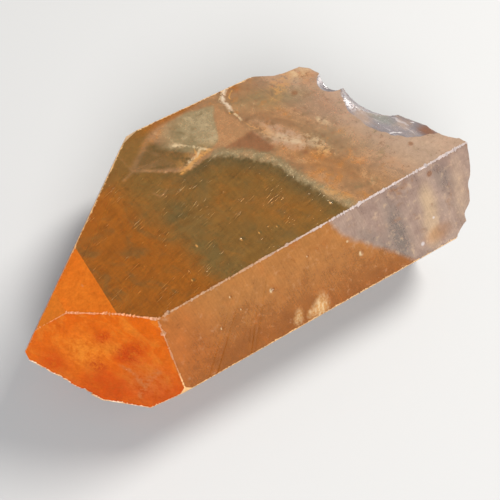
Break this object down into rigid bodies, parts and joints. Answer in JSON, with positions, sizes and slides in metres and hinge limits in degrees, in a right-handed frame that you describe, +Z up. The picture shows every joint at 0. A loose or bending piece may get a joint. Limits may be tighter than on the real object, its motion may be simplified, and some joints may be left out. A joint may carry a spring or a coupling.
{
  "type": "tangerine quartz crystal",
  "caption": "Single natural quartz point, six-sided with a steep pyramid tip at one end and a broken shell-scooped base at the other, lying on a flat prism face.",
  "frame": {"origin": "centre of the bounding box's bottom, on the surface that the crystal lies on", "axes": "+Z up from the prism face it rests on; the c axis lies along X, with the tip towards -X and the broken end towards +X"},
  "size_m": [0.045, 0.028, 0.014],
  "materials": {
    "tangerine_quartz": "see-through amber quartz, iron-stained orange at the tip, glossy faces with cloudy veils and frosted chipped edges"
  },
  "bodies": {
    "root": {"quartz_crystal": "tangerine_quartz"}
  },
  "joints": []
}
